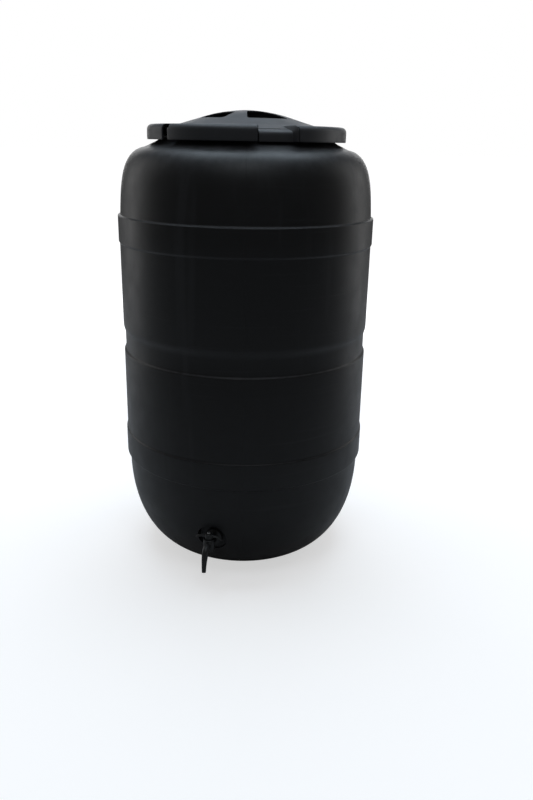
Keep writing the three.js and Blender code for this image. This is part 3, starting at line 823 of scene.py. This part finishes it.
class RAINBARREL_OT_lid(bpy.types.Operator):
    """Spin the lid's skin, press the notches into it and open the slots and finger windows"""
    bl_idname = "rainbarrel.lid"
    bl_label = "Twist lid"

    def execute(self, context):
        sizes = context.scene.lid_sizes
        outline = lid_outline(sizes)
        lid = spun("lid_skin", outline, LID_STEPS, closed=False, out=(0, -1, 0))
        bpy.ops.object.mode_set(mode="EDIT")
        self.press_notches(sizes, outline)
        self.open_rim(sizes)
        self.open_windows(sizes)
        bpy.ops.object.mode_set(mode="OBJECT")
        use_modifier(lid, "SOLIDIFY", thickness=sizes.skin, offset=-1, use_even_offset=True)
        soften(lid, 0.0009, 50)
        lid = joined([lid, *self.underside(context)], "lid_skin")
        finish_piece(lid, lid_plastic(), "lid_plastic", "lid", "lid_cover", angle=35)
        return {"FINISHED"}

    def press_notches(self, sizes, outline):
        moving = outline[DOME_STEPS + 1:]
        targets = notch_outline(sizes, len(moving))
        start, end = math.degrees(sizes.notch_start), math.degrees(sizes.notch_end)
        for (radius, height), (new_radius, new_height) in reversed(list(zip(moving, targets))):
            def here(place):
                near = math.dist((radius_of(place), place.z), (radius, height)) < NEAR
                return near and any(within(place, start + half, end + half) for half in HALVES)
            pick(here)
            share = new_radius / radius
            bpy.ops.transform.resize(value=(share, share, 1), center_override=ORIGIN)
            bpy.ops.transform.translate(value=(0, 0, new_height - height))

    def open_rim(self, sizes):
        wall = LID_HIGH.x - sizes.notch_depth + 0.0005
        cheek = 1.0
        start, end = math.degrees(sizes.notch_start), math.degrees(sizes.notch_end)
        slot = math.degrees(sizes.slot_start), math.degrees(sizes.slot_end)

        def open_here(place):
            radius = radius_of(place)
            if radius > wall + 0.001 and place.z < sizes.top - 0.004:
                for half in HALVES:
                    if within(place, start + half - cheek, start + half):
                        return True
                    if within(place, end + half, end + half + cheek):
                        return True
            return radius > wall and any(within(place, slot[0] + half, slot[1] + half) for half in HALVES)

        pick(open_here, "FACE")
        bpy.ops.mesh.delete(type="FACE")

    def open_windows(self, sizes):
        for inner, start, end in WINDOWS:
            for half in HALVES:
                def inside(place):
                    radius = radius_of(place)
                    return inner < radius < sizes.window_outer and within(place, start + half, end + half)
                pick(inside, "FACE")
                bpy.ops.mesh.delete(type="FACE")

        pick(lambda place: radius_of(place) < sizes.window_outer + 0.01,
             only=lambda corner: corner.is_boundary)
        bpy.ops.mesh.vertices_smooth(factor=0.5, repeat=8)

    def underside(self, context):
        """The seat rib over the pan and the hooks that pass under the neck's lugs."""
        sizes = context.scene.lid_sizes
        low, high = PAN_HIGH.z + SEAT, sizes.top - 0.0065
        inner, outer = 0.184, 0.188
        rib = spun("seat_rib", [(inner, low), (outer, low), (outer, high), (inner, high)])
        pieces = [rib, self.web(sizes)]
        bottom = LID_LOW.z + sizes.rim_skirt
        for quarter in QUARTERS:
            centre = HOOK_FIRST + quarter
            hook = sector("hook", bottom, bottom + 0.0025, 0.199, LID_HIGH.x - 0.001,
                          centre - HOOK_HALF, centre + HOOK_HALF)
            soften(hook, 0.0007)
            pieces.append(hook)
        return pieces

    def web(self, sizes):
        """The cross rib below the arch, cut to the dome's underside."""
        low = LID_HIGH.z - sizes.web_drop
        web = block("web", (sizes.dome_radius * 2, sizes.web, sizes.web_drop * 2), (0, 0, LID_HIGH.z))
        bpy.ops.transform.rotate(value=-math.radians(WEB_TURN), orient_axis="Z", center_override=ORIGIN)
        bpy.ops.object.mode_set(mode="OBJECT")
        middle = [(radius, height - sizes.skin / 2) for radius, height in dome_heights(sizes)]
        sunk = [point for point in middle if point[1] > low + 0.001]
        room = spun("web_room", [*sunk, (sunk[-1][0], low), (0, low)], closed=False)
        combine(web, room, "INTERSECT")
        return web


class RAINBARREL_OT_pan_and_seal(bpy.types.Operator):
    """Spin the pan that closes the mouth and the rubber ring below it"""
    bl_idname = "rainbarrel.pan_and_seal"
    bl_label = "Lid pan and seal"

    def execute(self, context):
        plug = PAN_HIGH.x - 0.008
        inner = plug - 0.003
        flange = SEAL_HIGH.z + SEAT
        disc = flange - 0.005
        outline = rounded([
            (0, disc, 0), (0.06, disc, 0), (inner - 0.004, disc, 0.004), (inner, disc - 0.002, 0.001),
            (inner, PAN_LOW.z, 0.001), (plug, PAN_LOW.z, 0.001), (plug, flange, 0.0006),
            (PAN_HIGH.x, flange, 0.0006), (PAN_HIGH.x, PAN_HIGH.z, 0.0006), (inner, PAN_HIGH.z, 0.001),
            (inner - 0.002, disc + 0.0025, 0.002), (0.06, disc + 0.0025, 0), (0, disc + 0.0025, 0)])
        pan = spun("pan", outline, closed=False)
        finish_piece(pan, lid_plastic(), "lid_plastic", "lid", "lid_pan")
        low, high = SEAL_LOW.z, SEAL_HIGH.z
        outer = SEAL_HIGH.x
        seal_inner = outer - 0.007
        seal = spun("seal", rounded([
            (outer - 0.0035, low, 0), (outer, low, 0.0008), (outer, high, 0.0008),
            (seal_inner, high, 0.0008), (seal_inner, low, 0.0008), (outer - 0.0036, low, 0)]))
        finish_piece(seal, rubber(), "rubber", "lid_lift", "lid_seal")
        return {"FINISHED"}


# ---- tap ----
def tapered_hose(name, stations):
    """A curved tube through (place, radius) stations, closed at both ends."""
    deselect()
    bpy.ops.curve.primitive_bezier_curve_add()
    piece = bpy.context.active_object
    piece.name = name
    spline = piece.data.splines[0]
    spline.bezier_points.add(len(stations) - 2)
    for knot, (place, radius) in zip(spline.bezier_points, stations):
        knot.co = place
        knot.radius = radius
        knot.handle_left_type = knot.handle_right_type = "AUTO"
    piece.data.bevel_depth = 1
    piece.data.bevel_resolution = 8
    piece.data.resolution_u = 8
    piece.data.use_fill_caps = True
    bpy.ops.object.convert(target="MESH")
    piece = bpy.context.active_object
    edit_all(piece)
    close_edit()
    return piece


def spout_stations(tap, bore):
    """Places and radii down the spout or its bore, which starts further out and ends past the tip."""
    start, tip = (0.0050, tap.spout_bore) if bore else (tap.spout_radius, tap.spout_tip)
    inset, overshoot = (0.008, 0.004) if bore else (0, 0)
    elbow, height = tap.elbow_out, tap.height
    route = [(tap.valve_out + inset, height, 0), (elbow - 0.012, height, 0.05),
             (elbow - 0.001, height - 0.005, 0.2), (elbow + 0.006, height - 0.017, 0.45),
             (elbow + 0.0105, height - 0.034, 0.8), (elbow + 0.0125, TAP_LOW.z + 0.0015 - overshoot, 1)]
    return [(Vector((0, -out, up)), start + (tip - start) * share) for out, up, share in route]


def valve_turned(name, outline):
    """Turns an outline of (radius, height) round the plug's axis."""
    return spun(name, outline, SMALL_STEPS, (0, -settings().tap_sizes.valve_out, 0))


class RAINBARREL_OT_tap_body(bpy.types.Operator):
    """Turn the tap's shank, flange and valve barrel and run the tapering spout out of them"""
    bl_idname = "rainbarrel.tap_body"
    bl_label = "Tap body and spout"

    def execute(self, context):
        tap = context.scene.tap_sizes
        flange = -FLANGE_WASHER_LOW.y + SEAT
        shank_end = -TAP_HIGH.y
        thread = []
        at = shank_end
        while at < flange - 0.004:
            thread += [(SHANK_RADIUS - THREAD_DEPTH, at),
                       (SHANK_RADIUS, at + 0.0005), (SHANK_RADIUS, at + 0.0009)]
            at += THREAD_PITCH
        body = tap_turned("tap_casting", [
            (0, shank_end), *thread, (SHANK_RADIUS - 0.0006, flange),
            (FLANGE_RADIUS - 0.0008, flange), (FLANGE_RADIUS, flange + 0.0008),
            (FLANGE_RADIUS, flange + 0.0030), (FLANGE_RADIUS - 0.0010, flange + 0.0039),
            (TAP_NECK + 0.0013, flange + 0.0042),
            (TAP_NECK + 0.0002, flange + 0.0048), (TAP_NECK, flange + 0.0070),
            (TAP_NECK, tap.valve_out), (0, tap.valve_out)])
        low, high = VALVE_LOW, VALVE_HIGH
        valve = valve_turned("valve", [
            (0, low - 0.0015), (0.006, low - 0.0015), (0.0095, low), (0.0125, low + 0.0015),
            (VALVE_RADIUS, low + 0.003), (VALVE_RADIUS, high - 0.0065), (VALVE_GROOVE, high - 0.0055),
            (VALVE_GROOVE, high - 0.0035), (VALVE_RADIUS, high - 0.0025), (VALVE_RADIUS, high - 0.0008),
            (VALVE_GROOVE, high), (0, high)])
        combine(body, valve, "UNION")
        combine(body, tapered_hose("spout", spout_stations(tap, False)), "UNION")
        combine(body, tapered_hose("spout_bore", spout_stations(tap, True)), "DIFFERENCE")
        shank_bore = cylinder_outline(SHANK_BORE, shank_end - 0.002, tap.valve_out)
        combine(body, tap_turned("shank_bore", shank_bore), "DIFFERENCE")
        plug_bore = cylinder_outline(PLUG_RADIUS + SEAT, low + 0.003, high + 0.002)
        combine(body, valve_turned("plug_bore", plug_bore), "DIFFERENCE")
        finish_piece(body, tap_plastic(), "tap_plastic", "barrel", "tap_body", angle=40)
        return {"FINISHED"}


class RAINBARREL_OT_tap_key(bpy.types.Operator):
    """Turn the plug and its rings and shape the winged handle with its screw"""
    bl_idname = "rainbarrel.tap_key"
    bl_label = "Tap plug and handle"

    def execute(self, context):
        self.plug(context)
        self.handle(context)
        self.screw(context)
        return {"FINISHED"}

    def plug(self, context):
        tap = context.scene.tap_sizes
        low, high = PLUG_LOW.z, PLUG_HIGH.z
        plug = valve_turned("plug", rounded([
            (0, low, 0), (PLUG_RADIUS, low, 0.0006), (PLUG_RADIUS, VALVE_HIGH, 0.0006),
            (STEM_RADIUS, VALVE_HIGH, 0.0004), (STEM_RADIUS, high, 0.0004), (0, high, 0)], 2))
        bore = spun("cross_bore", cylinder_outline(PLUG_BORE, -0.02, 0.02), SMALL_STEPS,
                    (0, -tap.valve_out, tap.height), (1, 0, 0), (0, 0, 1))
        combine(plug, bore, "DIFFERENCE")
        finish_piece(plug, tap_plastic(), "tap_plastic", "tap_key", "tap_plug")
        for name, node in (("upper_ring", "plug_o_ring_upper"), ("lower_ring", "plug_o_ring_lower")):
            lowest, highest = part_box(node)
            middle, half = (lowest.z + highest.z) / 2, (highest.z - lowest.z) / 2
            outer = (highest.x - lowest.x) / 2
            outline = [(outer - half + half * math.cos(turn), middle + half * math.sin(turn))
                       for turn in (FULL_TURN * step / 12 for step in range(12))]
            finish_piece(valve_turned(name, outline), rubber(), "rubber", "tap_key", node)

    def handle(self, context):
        tap = context.scene.tap_sizes
        low, top = HANDLE_LOW.z, HANDLE_HIGH.z
        hub_low = VALVE_HIGH + 0.0006
        half = 0.006
        wings = block("wings", (half * 2, 0.0095, 0.0078), (0, -tap.valve_out, top - 0.0062))
        # each length of a wing: how far out, how far down and how much narrower
        lengths = ((0.0085, -0.0003, 0.80), (0.0090, -0.0022, 0.82), (0.0058, -0.0035, 0.85),
                   (HANDLE_HIGH.x - half - 0.0233, -0.0014, 0.60))
        for side in (-1, 1):
            pick(lambda place: place.x * side > half - 0.0001, "FACE")
            for out, down, share in lengths:
                extrude((side * out, 0, down))
                bpy.ops.transform.resize(value=(1, share, 0.5 + share / 2))
        close_edit(merge=False)
        use_modifier(wings, "SUBSURF", levels=3, render_levels=3)
        hub = valve_turned("hub", rounded([
            (0.0048, hub_low, 0), (0.0090, hub_low, 0.0008), (0.0095, top - 0.006, 0.001),
            (0.0088, top, 0.0016), (0.0022, top, 0.0004),
            (0.0022, top - 0.0014, 0), (0.0048, top - 0.0014, 0)]))
        hub_room = cylinder_outline(0.0070, low - 0.01, top + 0.01)
        combine(wings, valve_turned("hub_room", hub_room), "DIFFERENCE")
        handle = joined([hub, wings], "handle")
        finish_piece(handle, tap_plastic(), "tap_plastic", "tap_key", "tap_handle", angle=40)

    def screw(self, context):
        tap = context.scene.tap_sizes
        low, high = SCREW_LOW.z, SCREW_HIGH.z
        seat = high - 0.0022
        screw = valve_turned("screw", [
            (0, low), (0.0010, low), (0.0018, low + 0.0015), (0.0018, seat), (0.0039, seat),
            (0.0040, seat + 0.0005), (0.0033, seat + 0.0016), (0.0018, seat + 0.0021), (0, high)])
        for width, depth in ((0.0050, 0.0009), (0.0009, 0.0050)):
            slot = block("slot", (width, depth, 0.0024), (0, -tap.valve_out, high))
            bpy.ops.object.mode_set(mode="OBJECT")
            combine(screw, slot, "DIFFERENCE")
        finish_piece(screw, plated_steel(), "screw_steel", "tap_key", "handle_screw")


class RAINBARREL_OT_tap_fixings(bpy.types.Operator):
    """Turn the washers on both sides of the wall and cut the back nut"""
    bl_idname = "rainbarrel.tap_fixings"
    bl_label = "Washers and nut"

    def execute(self, context):
        for name, node in (("flange_washer", "tap_flange_washer"), ("inner_washer", "tap_inner_washer")):
            lowest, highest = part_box(node)
            washer = tap_turned(name, rounded([
                (0.0165, -highest.y, 0), (highest.x, -highest.y, 0.0007), (highest.x, -lowest.y, 0.0007),
                (WALL_BORE, -lowest.y, 0.0004), (WALL_BORE, -highest.y, 0.0004), (0.0160, -highest.y, 0)]))
            finish_piece(washer, rubber(), "rubber", "barrel", node)
        self.nut()
        return {"FINISHED"}

    def nut(self):
        near, far = -NUT_HIGH.y, -NUT_LOW.y
        corner = NUT_HIGH.x / math.cos(math.radians(30))
        nut = tap_turned("nut", cylinder_outline(corner, near, far), 6)
        dome = tap_turned("nut_round", rounded([
            (0, near, 0), (corner * 0.90, near, 0), (corner * 1.04, near + 0.003, 0),
            (corner * 1.04, far - 0.001, 0), (corner * 0.97, far, 0), (0, far, 0)]))
        combine(nut, dome, "INTERSECT")
        bore = cylinder_outline(SHANK_RADIUS + SEAT, near - 0.01, far + 0.01)
        combine(nut, tap_turned("nut_bore", bore), "DIFFERENCE")
        finish_piece(nut, tap_plastic(), "tap_plastic", "barrel", "tap_back_nut", angle=30)


# ---- stage ----
def area_lamp(name, place, aim, size, power, tint):
    deselect()
    bpy.ops.object.light_add(type="AREA", location=place)
    lamp = bpy.context.active_object
    lamp.name = name
    lamp.data.shape = "RECTANGLE"
    lamp.data.size, lamp.data.size_y = size
    lamp.data.energy = power
    lamp.data.color = tint
    lamp.visible_camera = False
    lamp.rotation_euler = (Vector((0, 0, aim)) - place).to_track_quat("-Z", "Y").to_euler()


class RAINBARREL_OT_stage(bpy.types.Operator):
    """Lay the pale floor, hang the soft lamps and set the camera"""
    bl_idname = "rainbarrel.stage"
    bl_label = "Stage, lamps and camera"

    def execute(self, context):
        self.floor()
        self.world(context)
        side = math.degrees(context.scene.stage_settings.azimuth)
        for name, (out, turn, height, *rest) in LAMPS.items():
            area_lamp(name, around(out, side + turn, height), *rest)
        self.camera(context)
        return {"FINISHED"}

    def floor(self):
        deselect()
        bpy.ops.mesh.primitive_plane_add(size=400)
        floor = bpy.context.active_object
        floor.name = "floor"
        material, tree = new_material("Pale floor")
        tree.nodes.remove(tree.nodes["Principled BSDF"])
        output = tree.nodes["Material Output"]
        paint = add(tree, "ShaderNodeBsdfDiffuse")
        paint.inputs["Color"].default_value = FLOOR_PAINT
        glow = add(tree, "ShaderNodeEmission")
        glow.inputs["Color"].default_value = (*WHITE, 1)
        seen = add(tree, "ShaderNodeLightPath")
        coords = add(tree, "ShaderNodeTexCoord")
        reach = add(tree, "ShaderNodeVectorMath", operation="LENGTH")
        wire(tree, coords, "Object", reach, 0)
        far = ranged(tree, reach, "Value", *FLOOR_GLOW)
        far.interpolation_type = "SMOOTHSTEP"
        strength = math_node(tree, "MULTIPLY", (seen, "Is Camera Ray"), (far, "Result"))
        wire(tree, strength, "Value", glow, "Strength")
        both = add(tree, "ShaderNodeAddShader")
        wire(tree, paint, "BSDF", both, 0)
        wire(tree, glow, "Emission", both, 1)
        wire(tree, both, "Shader", output, "Surface")
        floor.data.materials.append(material)

    def world(self, context):
        world = bpy.data.worlds.new("Studio")
        context.scene.world = world
        world.use_nodes = True
        tree = world.node_tree
        background = tree.nodes["Background"]
        background.inputs["Color"].default_value = (*WHITE, 1)
        seen = add(tree, "ShaderNodeLightPath")
        strength = math_node(tree, "MULTIPLY", (seen, "Is Camera Ray"), 1 - WORLD_LIGHT)
        total = math_node(tree, "ADD", (strength, "Value"), WORLD_LIGHT)
        wire(tree, total, "Value", background, "Strength")

    def camera(self, context):
        stage = context.scene.stage_settings
        deselect()
        bpy.ops.object.camera_add()
        camera = context.active_object
        camera.name = "camera"
        camera.data.lens = stage.lens
        camera.data.sensor_width = 36
        camera.data.clip_end = 60
        upright = math.pi / 2
        turn = Matrix.Rotation(stage.azimuth, 4, "Z")
        place = Matrix.Translation((0, -stage.distance, stage.height))
        swing = Matrix.Rotation(stage.swing, 4, "Z")
        pitch = Matrix.Rotation(upright - stage.pitch, 4, "X")
        roll = Matrix.Rotation(stage.roll, 4, "Z")
        camera.matrix_world = turn @ place @ swing @ pitch @ roll
        context.scene.camera = camera
        context.scene.view_settings.view_transform = "Standard"


class RAINBARREL_PT_panel(bpy.types.Panel):
    """Lists the steps that build the barrel"""
    bl_label = "Rain Barrel"
    bl_idname = "RAINBARREL_PT_panel"
    bl_space_type = "VIEW_3D"
    bl_region_type = "UI"
    bl_category = "Rain Barrel"

    def draw(self, context):
        for step in STEPS:
            self.layout.operator(step.bl_idname)


GROUPS = {
    "barrel_sizes": BarrelSizes,
    "lid_sizes": LidSizes,
    "tap_sizes": TapSizes,
    "barrel_finishes": Finishes,
    "stage_settings": StageSettings,
}
STEPS = (
    RAINBARREL_OT_body,
    RAINBARREL_OT_lid,
    RAINBARREL_OT_pan_and_seal,
    RAINBARREL_OT_tap_body,
    RAINBARREL_OT_tap_key,
    RAINBARREL_OT_tap_fixings,
    RAINBARREL_OT_stage,
)


def register():
    for kind in (*GROUPS.values(), *STEPS, RAINBARREL_PT_panel):
        bpy.utils.register_class(kind)
    for name, kind in GROUPS.items():
        setattr(bpy.types.Scene, name, bpy.props.PointerProperty(type=kind))


def unregister():
    for name in GROUPS:
        delattr(bpy.types.Scene, name)
    for kind in reversed((*GROUPS.values(), *STEPS, RAINBARREL_PT_panel)):
        bpy.utils.unregister_class(kind)


def main():
    register()
    for step in STEPS:
        family, action = step.bl_idname.split(".")
        getattr(getattr(bpy.ops, family), action)()


if __name__ == "__main__":
    main()
